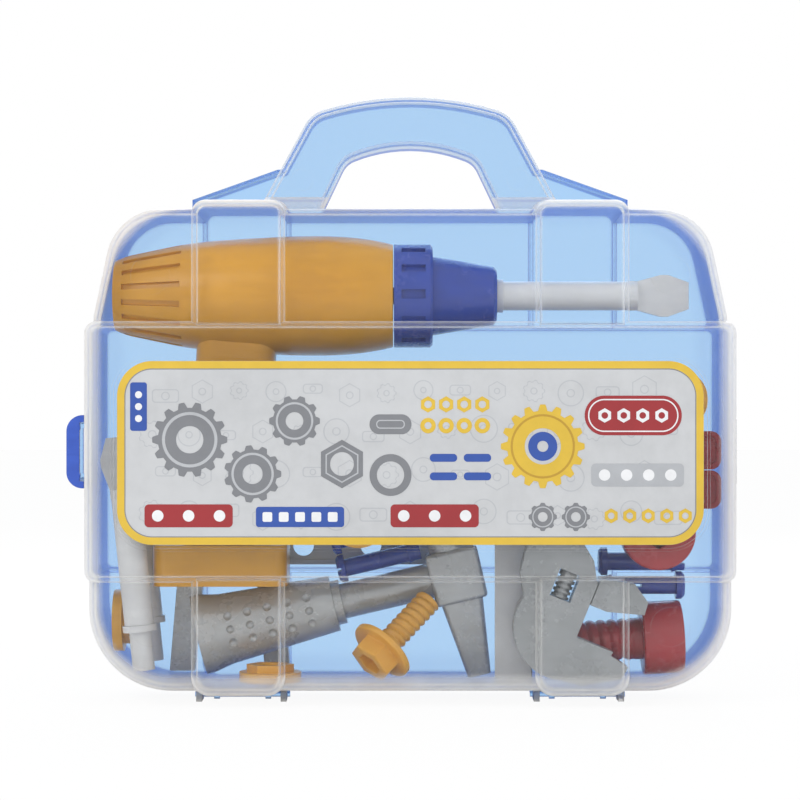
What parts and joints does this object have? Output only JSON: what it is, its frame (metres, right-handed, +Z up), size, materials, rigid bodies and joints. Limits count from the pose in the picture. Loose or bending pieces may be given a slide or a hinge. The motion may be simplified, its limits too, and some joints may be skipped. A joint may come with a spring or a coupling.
{
  "type": "toy_tool_case",
  "caption": "Toy tool set in a carry case with a clear lid and a blue tray: drill, hammer, wrench, pliers, screwdriver, bits, bolts, nuts, screws and strips",
  "frame": {"origin": "on the floor plane, midway between the case's sides, under the parting plane of lid and tray", "axes": "+X to the right seen from the front, +Y from the clear lid to the blue tray, +Z up to the carry handle"},
  "size_m": [0.3114, 0.081, 0.2807],
  "materials": {
    "clear_plastic": "clear, slightly frosted moulded plastic",
    "blue_clear_plastic": "see-through blue moulded plastic",
    "latch_blue": "blue moulded plastic",
    "printed_label": "coated printed sheet",
    "yellow_plastic": "yellow moulded plastic",
    "blue_plastic": "deep blue moulded plastic",
    "white_plastic": "white moulded plastic",
    "grey_plastic": "silver-grey moulded plastic",
    "pale_grey_plastic": "pale grey moulded plastic",
    "red_plastic": "red moulded plastic",
    "steel": "plated steel",
    "spindle_plastic": "natural moulded plastic",
    "leaflet_paper": "folded paper"
  },
  "bodies": {
    "case": {"tray": "blue_clear_plastic", "drill_shell_front": "yellow_plastic", "drill_shell_back": "yellow_plastic", "drill_screws": "steel", "spare_bits": "white_plastic", "hammer_handle": "grey_plastic", "hammer_head": "grey_plastic", "wrench_body": "grey_plastic", "wrench_worm_pin": "steel", "pliers_arm_left": "grey_plastic", "pliers_rivet": "steel", "screwdriver_handle": "grey_plastic", "screwdriver_blade": "grey_plastic", "yellow_bolts": "yellow_plastic", "yellow_nuts": "yellow_plastic", "blue_screws": "blue_plastic", "red_bolts": "red_plastic", "red_strip_lower": "red_plastic", "red_strip_upper": "red_plastic", "grey_strip": "pale_grey_plastic", "leaflet": "leaflet_paper"},
    "front": {"lid": "clear_plastic", "label": "printed_label"},
    "latch": {"side_latch": "latch_blue"},
    "trigger": {"drill_trigger": "blue_plastic"},
    "chuck": {"drill_spindle": "spindle_plastic", "chuck_ring": "blue_plastic", "chuck_nose": "blue_plastic", "driver_bit": "white_plastic"},
    "jaw": {"wrench_jaw": "grey_plastic"},
    "worm": {"wrench_worm": "grey_plastic"},
    "pliers": {"pliers_arm_right": "grey_plastic"}
  },
  "joints": [
    {"name": "lid_hinge", "type": "hinge", "parent": "case", "child": "front", "pos_m": [0, 0, 0.0022], "axis": [1, 0, 0], "range_deg": [0, 150]},
    {"name": "latch_hinge", "type": "hinge", "parent": "case", "child": "latch", "pos_m": [-0.1555, 0.0105, 0.116], "axis": [0, 0, -1], "range_deg": [0, 110]},
    {"name": "trigger_slide", "type": "slide", "parent": "case", "child": "trigger", "axis": [-1, 0, 0], "range_m": [0, 0.005], "stiffness_N_per_m": 80},
    {"name": "chuck_spin", "type": "hinge", "parent": "case", "child": "chuck", "pos_m": [0, 0.001, 0.1888], "axis": [1, 0, 0], "continuous": true},
    {"name": "jaw_slide", "type": "slide", "parent": "case", "child": "jaw", "axis": [0.3746, 0, 0.9272], "range_m": [-0.0145, 0.004]},
    {"name": "worm_spin", "type": "hinge", "parent": "case", "child": "worm", "pos_m": [0.0707, -0.0245, 0.05527], "axis": [0.3746, 0, 0.9272], "continuous": true},
    {"name": "pliers_pivot", "type": "hinge", "parent": "case", "child": "pliers", "pos_m": [-0.086, 0.0274, 0.1019], "axis": [0, -1, 0], "range_deg": [-4, 12]}
  ],
  "couplings": [
    {"joint": "worm_spin", "follows": "jaw_slide", "rad_per_m": 2416.6}
  ]
}
